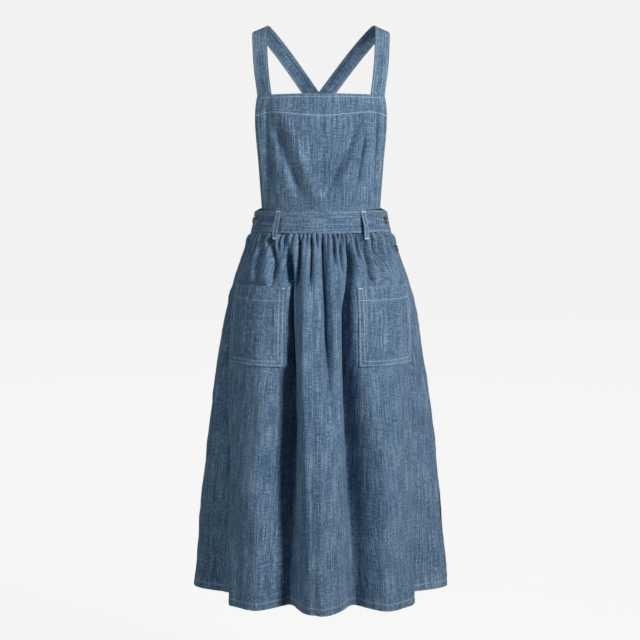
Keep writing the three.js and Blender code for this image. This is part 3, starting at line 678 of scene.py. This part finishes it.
skirtLength = band.bottomZ - seamGap - skirt.hemZ
skirtRows = np.interp(np.linspace(0, 1, 103), (0, 0.3, 0.84, 1), (0, 66, skirtLength - 34, skirtLength))
for side in ("front", "back"):
    surface = skirtAt(panels[side])
    columns = skirt.columnsFront if side == "front" else skirt.columnsBack
    hemLine = skirtLength - skirt.hemStitch
    piece = makeSheet("cloth_skirt_" + side, surface, np.linspace(0.4, skirt.width - 0.4, columns + 1),
                      skirtRows, skirt.thickness, edges=lambda across, down: np.abs(down - hemLine))
    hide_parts("skirt_" + side)
    sew("stitching_hem_" + side, [stitches(surface, [(3, hemLine), (skirt.width - 3, hemLine)],
        skirt.thickness, pitch=3.8)])
print("skirt made")


# Patch pockets, laid on the skirt front with a deep hem at the top
pocketCreases = dict(
    left=[((20, 40), (60, 74), 1.0, 9), ((118, 34), (96, 92), 0.9, 8)],
    right=[((37, 2), (68, 74), 1.7, 5), ((96, 38), (118, 96), 0.9, 9)],
)


def lineDistance(across, down, a, b):
    a, b = np.array(a, float), np.array(b, float)
    along = ((across - a[0]) * (b - a)[0] + (down - a[1]) * (b - a)[1]) / np.sum((b - a) ** 2)
    t = np.clip(along, 0, 1)
    return np.hypot(across - mix(a[0], b[0], t), down - mix(a[1], b[1], t))


def pocketLines(p):  # rows of stitches: the hem, then the twin rows round the sides and the foot
    w, h = p.width, p.height
    lines = [[(2, p.hem - 1.5), (w / 2, p.hem + 0.8), (w - 2, p.hem - 0.5)]]
    for inset in p.twin:
        lines.append([(inset, 2), (inset, h - inset), (w - inset, h - inset), (w - inset, 2)])
    return lines


def fromLines(lines, across, down):
    legs = [leg for line in lines for leg in zip(line, line[1:])]
    return np.min([lineDistance(across, down, *leg) for leg in legs], axis=0)


def pocketAt(side):
    sign = -1 if side == "left" else 1
    front = skirtAt(panels["front"], mouths=0)
    lines = pocketLines(pocket)

    def surface(across, down):
        w, h = pocket.width, pocket.height
        low, high = pocketColumns
        column = mix(-high, -low, across / w) if sign < 0 else mix(low, high, across / w)
        onSkirt = (column + quarter) / panelColumns * skirt.width
        drop = band.bottomZ - seamGap - pocket.topZ + down
        middle = np.sin(math.pi * np.clip(across / w, 0, 1))
        puffed = 1.6 * middle * np.sin(math.pi * np.clip(down / h, 0, 1)) ** 0.7
        gape = 3.0 * middle**2 * np.exp(-np.maximum(down, 0) / 16)
        hemStep = 0.5 * (1 - ease(down, pocket.hem - 1, pocket.hem + 2))
        creased = sum(deep * hump(lineDistance(across, down, a, b), half)
                      for a, b, deep, half in pocketCreases[side])
        sunk = 0.45 * hump(fromLines(lines, across, down), 1.7)
        pucker = 0.35 * uneven(across, down, 31 + sign, 15)
        lift = (skirt.thickness + pocket.thickness) / 2 + 1.0
        lift = lift + np.maximum(puffed + gape + hemStep + pucker - creased - sunk, -0.6)
        return front(onSkirt, drop) + normalOf(front, onSkirt, drop, 3.0) * lift[..., None]
    return surface


for side in ("left", "right"):
    surface = pocketAt(side)
    lines = pocketLines(pocket)
    piece = makeSheet("cloth_pocket_" + side, surface, np.linspace(0, pocket.width, 99),
                      np.linspace(0, pocket.height, 107), pocket.thickness,
                      edges=lambda across, down: fromLines(lines, across, down))
    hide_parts("pocket_" + side)
    w = pocket.width
    inner, innerHalf, outer = (w - 4.5, 2.5, 7) if side == "left" else (7, 4.5, w - 7)
    sew("stitching_pocket_" + side,
        [stitches(surface, line, pocket.thickness, pitch=3.3) for line in lines]
        + [barTack(surface, [(inner - innerHalf, 2.2), (inner + innerHalf, 2.2)], pocket.thickness),
           barTack(surface, [(outer - 3.5, 2.2), (outer + 3.5, 2.2)], pocket.thickness, 1.8)])
print("pockets made")


# Bib: turned sides, a shaped facing stitched down inside, and soft folds towards the waist
bib = Sizes(halfWidth=130, height=241, topZ=-128, cornerDrop=5, thickness=2, topStitch=6, sideStitch=7)
bibZ = [-369, -330, -270, -225, -185, -155, -128]
bibHalfWidth = [122.5, 125, 129, 133, 135.5, 134, 129.5]
bibRing = [139, 148, 160, 167, 171, 172, 171]
bibDepth = [104.5, 110, 116, 118.5, 118, 115, 110]
bibFolds = [
    (-0.82, -150, -0.88, -362, 8, 8),
    (-0.79, -165, -0.29, -365, 10, 11),
    (-0.57, -165, -0.03, -365, -6, 11),
    (0.6, -175, 0.05, -350, 10, 9),
    (0.7, -175, 0.3, -345, -6, 8),
    (0.68, -190, 0.56, -345, 10, 6),
    (0.83, -150, 0.86, -362, 11, 5.5),
    (0, -100, 0.02, -380, 0.9, 2.2),
]
facingAcross = [-130, -100, 0, 100, 130]
facingDown = [43, 36, 44.4, 36, 43]


def bibLines(b):
    across = np.linspace(-b.halfWidth + 1, b.halfWidth - 1, 40)
    facing = np.stack([across, smoothCurve(facingAcross, facingDown, across)], -1)
    inset = b.halfWidth - b.sideStitch
    foot = b.height - 1
    return [
        [(-inset, b.topStitch), (inset, b.topStitch)],
        [(-inset, b.topStitch), (-inset, foot)],
        [(inset, b.topStitch), (inset, foot)],
        facing.tolist(),
    ]


def bibTopAt(share):
    return bib.topZ - bib.cornerDrop * share * share


def bibForm(share, z, relief=0.0):
    halfWidth = smoothCurve(bibZ, bibHalfWidth, z)
    inward = -relief
    for topX, topZ, footX, footZ, deep, half in bibFolds:
        along = (topZ - z) / (topZ - footZ)
        reach = ease(along, -0.12, 0.25) * (1 - ease(along, 0.7, 1.02))
        inward = inward + deep * reach * hump((share - mix(topX, footX, along)) * halfWidth, half)
    ring = smoothCurve(bibZ, bibRing, z)
    depth = smoothCurve(bibZ, bibDepth, z) - inward
    return points(halfWidth * share, -depth * np.sqrt(1 - (halfWidth * share / ring) ** 2), z)


def bibAt(across, down):
    share = across / bib.halfWidth
    z = mix(bibTopAt(share), band.topZ + seamGap, down / bib.height)
    middle = ease(down, 0, 40) * (1 - ease(down, bib.height - 45, bib.height))
    swells = 1.1 * uneven(across, down, 41, 75) * middle
    creases = 0.5 * uneven(across, down * 0.5, 42, 24) * ease(down, 8, 40) * (1 - ease(down, 225, 241))
    inset = bib.halfWidth - bib.sideStitch
    fromFacing = down - smoothCurve(facingAcross, facingDown, across)
    puckers = 0.5 * uneven(across, down, 43, 11) * hump(fromFacing, 10)
    sidePuckers = 0.45 * uneven(across * 0.5, down, 44, 14) * hump(np.abs(across) - inset, 10)
    sunk = hump(fromFacing, 1.8) + hump(down - bib.topStitch, 1.6) + hump(np.abs(across) - inset, 1.8)
    doubled = 0.4 * (1 - ease(fromFacing, -1, 2))
    return bibForm(share, z, swells + creases + puckers + sidePuckers + doubled - 0.4 * sunk)


def bibEdges(across, down):
    fromFacing = np.abs(down - smoothCurve(facingAcross, facingDown, across))
    fromSide = np.abs(np.abs(across) - bib.halfWidth + bib.sideStitch)
    return np.minimum(np.minimum(fromFacing, fromSide), np.abs(down - bib.topStitch))


piece = makeSheet("cloth_bib", bibAt, np.linspace(-130, 130, 131), np.linspace(0, bib.height, 121),
                  bib.thickness, edges=bibEdges)
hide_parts("bib")
sizes = (1.0, 0.85, 0.85, 1.35)
sew("stitching_bib", [stitches(bibAt, line, bib.thickness, size=size)
                      for line, size in zip(bibLines(bib), sizes)])
print("bib made")


# Straps: flat ribbons over the shoulders that cross behind and run down to the waistband
strap = Sizes(
    width=31, thickness=2.6, crestX=125.5, crestSlope=23, frontDrift=0.285, frontLength=161, rootX=115.5,
    rootLean=1.1, crossingAt=243, lowerLength=246, backRound=116, edgeStitch=3,
)
strapStart = -strap.frontLength
strapEnd = strap.crossingAt + strap.lowerLength
straps = dict(left=Sizes(mirror=1, over=1, drift=0.205), right=Sizes(mirror=-1, over=-1, drift=0.24))
backZ = [-373, -260, -150]
backHalfWidth = [139, 165, 190]
backHalfDepth = [104.5, 100, 95]


def strapProfile(marks, turns):  # how far out and down a bending strap has come, at each mm from its crest
    far = np.arange(0, 400, 0.25)
    turn = np.radians(np.interp(far, marks, turns))
    out = np.cumsum(np.cos(turn)) * 0.25
    down = np.cumsum(np.sin(turn)) * 0.25
    return lambda d: (np.interp(d, far, out), np.interp(d, far, down))


frontProfile = strapProfile((0, 24, 156), (0, 52, 73.5))
backProfile = strapProfile((0, 26, 200, 260), (0, 37, 90, 90))


def overShoulder(which, along, across):
    lean = np.arctan(mix(strap.frontDrift, which.drift, ease(along, -40, 40)))
    slope = math.radians(strap.crestSlope)
    level = np.array((math.cos(slope), 0, math.sin(slope)))
    up = np.array((-math.sin(slope), 0, math.cos(slope)))
    far = along * np.cos(lean) - across * np.sin(lean)
    shift = along * np.sin(lean) + across * np.cos(lean)
    outFront, downFront = frontProfile(np.abs(far))
    outBack, downBack = backProfile(np.abs(far))
    out = np.where(far < 0, -outFront, outBack)
    down = np.where(far < 0, downFront, downBack)
    start = points(-strap.crestX, out, strap.thickness / 2)
    return start + shift[..., None] * level - down[..., None] * up


def strapFront(which, along, across):
    def bibEdge(x):
        share = x / bibHalfWidth[-1]
        return bibForm(share, bibTopAt(share)) + np.array((0, 0, seamGap))

    length = strap.frontLength
    rootX = np.array([-strap.rootX], float)
    leaving = unit(overShoulder(which, np.array([30.0 - length]), np.array([0.0])) - bibEdge(rootX))
    rested = bibEdge(across / strap.rootLean - strap.rootX) + leaving * (along + length)[..., None]
    turned = ease(-along, 0.3 * length, 0.96 * length)[..., None]
    return mix(overShoulder(which, along, across), rested, turned)


def backPoint(around, z):
    halfWidth = smoothCurve(backZ, backHalfWidth, z)
    halfDepth = smoothCurve(backZ, backHalfDepth, z)
    turn = np.zeros_like(around)
    for _ in range(24):
        turn = turn + around / 24 / np.hypot(halfWidth * np.cos(turn), halfDepth * np.sin(turn))
    return points(halfWidth * np.sin(turn), halfDepth * np.cos(turn), z)

def bend(places, t):  # a smooth bend from the first place to the last, led by those between
    last = len(places) - 1
    return sum(math.comb(last, k) * (1 - t) ** (last - k) * t**k * places[k] for k in range(last + 1))
def strapBack(which, along, across):
    beyond = along - strap.crossingAt
    passing = 1 - ease(np.abs(beyond), strap.width, 2.4 * strap.width)
    apart = which.over * passing * (strap.thickness + seamGap + 0.1) / 2
    upper = overShoulder(which, along, across)
    upper[..., 1] += apart
    start = overShoulder(which, np.array([strap.crossingAt], float), np.array([0.0]))[0]
    heading = overShoulder(which, np.array([strap.crossingAt + 1.0]), np.array([0.0]))[0] - start
    endZ = band.topZ - band.backDip + seamGap
    ends = np.array([
        (start[0], start[2]),
        (start[0] + heading[0] * 85, start[2] + heading[2] * 85),
        (strap.backRound - 26, endZ + 75),
        (strap.backRound, endZ),
    ])
    t = np.clip(beyond / strap.lowerLength, 0, 1)[..., None]
    at = bend(ends, t)
    tangent = unit(bend(np.diff(ends, axis=0), t))
    square = ease(t[..., 0], 0.7, 1)
    asideX = mix(-tangent[..., 1], -1 / tangent[..., 1], square)
    asideZ = mix(tangent[..., 0], 0, square)
    rested = backPoint(at[..., 0] + asideX * across, at[..., 1] + asideZ * across)
    turn = 180 - np.degrees(np.arcsin(np.clip(rested[..., 0] / band.topHalfWidth, -1, 1)))
    rested[..., 2] += (bandTopZ(turn) + seamGap - endZ) * square
    rested[..., 1] = mix(start[1], rested[..., 1], ease(beyond, 24, 90)) + apart
    return np.where((beyond <= 0)[..., None], upper, rested)


def strapAt(which):
    def surface(across, along):
        along = np.minimum(along, strapEnd)
        infront = (along < 0)[..., None]
        place = np.where(infront, strapFront(which, along, across), strapBack(which, along, across))
        return place * np.array((which.mirror, 1, 1))
    return surface


def strapSkin(which):  # the strap with its sewn edges sunk and a slight press ridge along its middle
    plain = strapAt(which)

    def surface(across, along):
        fromStitch = np.abs(across) - strap.width / 2 + strap.edgeStitch
        relief = 0.3 * uneven(across * 0.4, along, 51 + which.over, 16) - 0.3 * hump(fromStitch, 1.4)
        relief = relief + 0.25 * hump(across, 3)
        relief = which.mirror * relief * ease(along, strapStart, strapStart + 12)
        return plain(across, along) + normalOf(plain, across, along, 1.0) * relief[..., None]
    return surface


alongMarks = np.concatenate([np.linspace(strapStart, -70, 26)[:-1], np.linspace(-70, 70, 71)[:-1],
                             np.linspace(70, strapEnd, 121)])
for side, which in straps.items():
    surface = strapSkin(which)
    half = strap.width / 2
    piece = makeSheet("cloth_strap_" + side, surface, np.linspace(-half, half, 17), alongMarks,
                      strap.thickness,
                      edges=lambda across, down: np.abs(np.abs(across) - half + strap.edgeStitch))
    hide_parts("strap_" + side)
    edge = half - strap.edgeStitch
    out = which.mirror
    runs = []
    for across in (-edge, edge):
        line = [(across, strapStart + 3), (across, strapEnd - 3)]
        for face in (out, -out):
            lift = face * (strap.thickness / 2 + 0.1)
            where, heading, normal = placesAlong(surface, line, stitchSize.pitch, lift)
            runs.append((where, heading, normal * face, 0.9))
    sew("stitching_strap_" + side, runs)
print("straps made")


# Belt loops, standing off the waistband and tacked at both ends
loop = Sizes(width=11, foot=13, thickness=1.8, length=63)
riseShare = [0, 0.1, 0.2, 0.34, 0.5, 0.66, 0.8, 0.9, 1]
riseOff = [0.4, 0.5, 2.4, 5.6, 7.2, 7.8, 7.7, 7.6, 8.2]
loopAngles = dict(front_left=-38, front_right=38, back_left=218, back_right=142)


def loopAt(angle):
    headZ = bandTopZ(angle) - 1
    footZ = bandBottomZ(angle) - loop.foot
    face = bandOuter(angle, 0.5)
    across = unit(onEllipse(angle + 1, band.bottomHalfWidth, band.bottomHalfDepth, 0)
                  - onEllipse(angle - 1, band.bottomHalfWidth, band.bottomHalfDepth, 0))
    outward = np.array((across[1], -across[0], 0))

    def surface(side, down):
        share = down / loop.length
        z = mix(headZ, footZ, share)
        onBand = np.minimum((bandTopZ(angle) - z) / (bandTopZ(angle) - bandBottomZ(angle)), 1)
        base = bandOuter(np.full_like(z, angle), onBand) @ outward
        ripple = 0.25 * uneven(side, down, 61, 14) * hump(share - 0.5, 0.3)
        off = smoothCurve(riseShare, riseOff, np.clip(share, 0, 1)) + ripple
        out = base + off + loop.thickness / 2 - face @ outward
        return points(face[0], face[1], z) + out[..., None] * outward + side[..., None] * across
    return surface


for side, angle in loopAngles.items():
    surface = loopAt(angle)
    half = loop.width / 2
    piece = makeSheet("cloth_loop_" + side, surface, np.linspace(-half, half, 9),
                      np.linspace(0, loop.length, 41), loop.thickness)
    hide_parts("belt_loop_" + side)
    sew("stitching_loop_" + side,
        [stitches(surface, [(x, 4), (x, 58)], loop.thickness, pitch=3.2, size=0.8) for x in (-3.6, 3.6)]
        + [barTack(surface, [(-half + 0.2, d), (half - 0.2, d)], loop.thickness, 3.8)
           for d in (1.8, 60.8)])
print("belt loops made")


# Tack buttons: one is modelled by drawing a ring out and in, and copied to its three places
button = Sizes(
    segments=40,
    leansForward=0.3,
    # where the sunk ring lies, and how far the painted shade in it spreads
    recessAt=5.2,
    recessHalf=1.3,
    rings=[(3, 0), (3, 1.6), (8, 1.6), (8.55, 2.3), (8.5, 3.1), (7.9, 3.75), (7.1, 3.85), (6.5, 3.4),
           (6.1, 3.05), (4.6, 3.1), (4.3, 3.5), (3.4, 3.75), (1.8, 3.85), (0.6, 3.9)],
)


def modelButton(b):
    deselectAll()
    radius, height = b.rings[0]
    bpy.ops.mesh.primitive_circle_add(vertices=b.segments, radius=radius * mm, location=(0, 0, 0),
                                      fill_type="NGON")
    piece = bpy.context.object
    bpy.ops.object.mode_set(mode="EDIT")
    bpy.ops.mesh.select_all(action="SELECT")
    for nextRadius, nextHeight in b.rings[1:]:
        move = (0, 0, (nextHeight - height) * mm)
        bpy.ops.mesh.extrude_region_move(TRANSFORM_OT_translate={"value": move})
        ratio = nextRadius / radius
        bpy.ops.transform.resize(value=(ratio, ratio, 1), center_override=(0, 0, 0))
        radius, height = nextRadius, nextHeight
    bpy.ops.mesh.select_all(action="SELECT")
    bpy.ops.mesh.normals_make_consistent(inside=False)
    bpy.ops.object.mode_set(mode="OBJECT")
    bpy.ops.object.shade_smooth_by_angle(angle=math.radians(40))
    # A mask of painted shade over the sunk ring, which the material darkens
    fromAxis = np.array([math.hypot(v.co.x, v.co.y) / mm for v in piece.data.vertices])
    painted_shade = hump(fromAxis - b.recessAt, b.recessHalf)
    piece.data.attributes.new("recess", "FLOAT", "POINT").data.foreach_set("value", painted_shade)
    piece.data.materials.append(pewter)
    return piece


bandButtons = dict(button_band_left=-73.3, button_band_right=69.5)
skirtButton = Sizes(angle=76, down=34.5, lift=0.3)
hole = Sizes(toCentre=12.5, outward=9, halfWidth=1.1)
firstButton = modelButton(button)


def placeButton(name, cadName, surface, across, down, lift):
    at = np.array([[across], [down]], float)
    where = surface(*at)[0]
    normal = normalOf(surface, *at, 2.0)[0]
    normal = unit(normal + np.array((0, -button.leansForward, 0)))
    piece = addObject(name, firstButton.data.copy())
    turn = Vector(normal).to_track_quat("Z", "Y").to_matrix().to_4x4()
    piece.data.transform(Matrix.Translation(Vector((where + normal * lift) * mm)) @ turn)
    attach(piece, "root")
    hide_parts(cadName)


def buttonhole(surface, across, down, thickness, toCentre):
    a, b = sorted((across + toCentre * hole.toCentre, across - toCentre * hole.outward))
    low, high = down - hole.halfWidth, down + hole.halfWidth
    return barTack(surface, [(a, low), (b, low), (b, high), (a, high), (a, low)], thickness, 1.5)


bandFront = bandAt(-90)
for cadName, angle in bandButtons.items():
    across = (angle + 90) / 180 * band.length
    down = 0.46 * band.height
    placeButton("tack_" + cadName, cadName, bandFront, across, down, band.thickness / 2 - 0.4)
    toCentre = 1 if angle < 0 else -1
    sew("buttonhole_" + cadName.removeprefix("button_"),
        [buttonhole(bandFront, across, down, band.thickness - 0.3, toCentre)])
skirtFront = skirtAt(panels["front"])
acrossButton = (skirtButton.angle / 90 * quarter + quarter) / panelColumns * skirt.width
placeButton("tack_button_skirt", "button_skirt_right", skirtFront, acrossButton, skirtButton.down,
            skirtButton.lift)
bpy.data.objects.remove(firstButton)
print("buttons made")


# Camera, at the height of the strap tops and looking a little down
cameraSettings = Sizes(place=(-0.002, -4.4, 0.0), aim=(-0.002, 0.0, -0.61), lens=117.7, sensor=36.0)


def aim(made, s):
    made.location = s.place
    made.rotation_euler = (Vector(s.aim) - made.location).to_track_quat("-Z", "Y").to_euler()


def addCamera(c):
    camera = addObject("camera", bpy.data.cameras.new("camera"))
    aim(camera, c)
    camera.data.lens = c.lens
    camera.data.sensor_width = c.sensor
    camera.data.clip_end = 50
    bpy.context.scene.camera = camera


addCamera(cameraSettings)

# Studio: a pale paper floor that sweeps up behind, three large soft boxes and an even sky
studio = Sizes(floorZ=-1.54, backY=8.0, sweep=1.6, floorLength=14.0, wall=6.0, halfWidth=9.0, paper="#5a5a59",
               fleck="#5e5e5d", glow=0.875, sky=0.045)
lights = dict(
    key=Sizes(place=(2.0, -2.15, 0.75), aim=(0, 0, -0.45), size=0.75, power=87, colour="#ffffff"),
    fill=Sizes(place=(-3.0, -2.6, 0.1), aim=(0, 0, -0.6), size=1.4, power=38, colour="#ecf8ff"),
    rear=Sizes(place=(-0.6, 4.2, 1.9), aim=(0, 0, -0.6), size=2.0, power=34, colour="#ffffff"),
)


def addBackdrop(s):
    material, tree, feed = newMaterial("matt paper backdrop", {
        "Roughness": 0.95,
        "Specular IOR Level": 0.1,
        "Emission Color": (1, 1, 0.995, 1),
        "Emission Strength": s.glow,
    })
    place = node(tree, "TexCoord").outputs["Object"]
    grain = node(tree, "TexNoise", {"Scale": 300.0, "Detail": 2.0}, Vector=place)
    papers = {"data_type": "RGBA", 6: linear(s.paper), 7: linear(s.fleck)}
    feed("Base Color", node(tree, "Mix", papers, in0=grain.outputs[0]).outputs[2])
    deselectAll()
    bpy.ops.mesh.primitive_grid_add(x_subdivisions=2, y_subdivisions=64, size=1)
    paper = bpy.context.object
    paper.name = "backdrop"
    floor = s.floorLength
    sweepLength = s.sweep * math.pi / 2
    for vertex in paper.data.vertices:
        along = (vertex.co.y + 0.5) * (floor + sweepLength + s.wall)
        turn = min(max((along - floor) / s.sweep, 0), math.pi / 2)
        y = s.backY - s.sweep + min(along - floor, 0) + s.sweep * math.sin(turn)
        z = s.floorZ + s.sweep * (1 - math.cos(turn)) + max(along - floor - sweepLength, 0)
        vertex.co = (vertex.co.x * 2 * s.halfWidth, y, z)
    paper.data.materials.append(material)
    makeActive(paper)
    bpy.ops.object.shade_smooth()
    paper.visible_diffuse = False  # the glowing paper doesn't fill the folds with light


def addLights():
    for name, l in lights.items():
        light = addObject(name, bpy.data.lights.new(name, "AREA"))
        aim(light, l)
        light.data.size = l.size
        light.data.energy = l.power
        light.data.color = linear(l.colour)[:3]
    world = bpy.data.worlds.new("studio")
    world.use_nodes = True
    background = world.node_tree.nodes["Background"]
    background.inputs["Color"].default_value = linear("#ecf8ff")
    background.inputs["Strength"].default_value = studio.sky
    bpy.context.scene.world = world
    bpy.context.scene.view_settings.view_transform = "Standard"


addBackdrop(studio)
addLights()
print("studio made")
